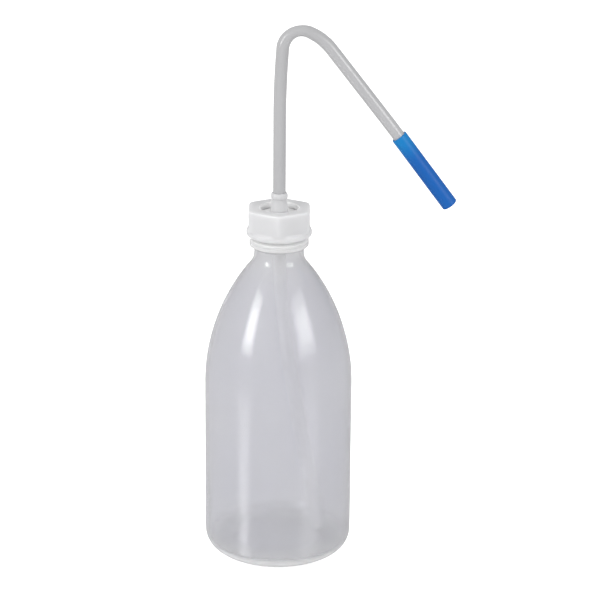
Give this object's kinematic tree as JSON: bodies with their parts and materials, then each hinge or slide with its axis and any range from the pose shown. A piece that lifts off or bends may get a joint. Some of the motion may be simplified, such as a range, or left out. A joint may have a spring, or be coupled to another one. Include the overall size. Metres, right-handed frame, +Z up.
{
  "type": "wash bottle",
  "caption": "Translucent squeeze bottle with a six-sided screw cap, a clamped spout insert, a bent delivery tube that dips inside and a closed sleeve on the tube's tip.",
  "frame": {"origin": "centre of the bottle's base, in the plane that it stands on", "axes": "+Z up along the bottle's axis, +X the way the spout points at rest, +Y by the right-hand rule"},
  "size_m": [0.1258, 0.075, 0.2765],
  "materials": {
    "bottle_polyethylene": "natural low-density polyethylene, translucent and softly milky, satin outside",
    "closure_polyethylene": "off-white moulded polyethylene, satin",
    "tube_polyethylene": "natural polyethylene tube, translucent grey, satin",
    "blue_plastic": "opaque medium blue soft plastic, satin"
  },
  "bodies": {
    "bottle": {"bottle": "bottle_polyethylene"},
    "insert": {"spout_insert": "closure_polyethylene"},
    "cap": {"screw_cap": "closure_polyethylene"},
    "tube": {"delivery_tube": "tube_polyethylene"},
    "tip_cap": {"tip_cap": "blue_plastic"}
  },
  "joints": [
    {"name": "cap_lift", "type": "slide", "parent": "bottle", "child": "insert", "axis": [0, 0, 1], "range_m": [0, 0.007]},
    {"name": "cap_turn", "type": "hinge", "parent": "insert", "child": "cap", "pos_m": [0, 0, 0.176], "axis": [0, 0, 1], "range_deg": [0, 720]},
    {"name": "tube_swivel", "type": "hinge", "parent": "insert", "child": "tube", "pos_m": [0, 0, 0.185], "axis": [0, 0, 1], "continuous": true},
    {"name": "tip_cap_pull", "type": "slide", "parent": "tube", "child": "tip_cap", "axis": [0.5976, 0, -0.8018], "range_m": [0, 0.045]}
  ],
  "couplings": [
    {"joint": "cap_lift", "follows": "cap_turn", "m_per_rad": 0.00055704}
  ]
}
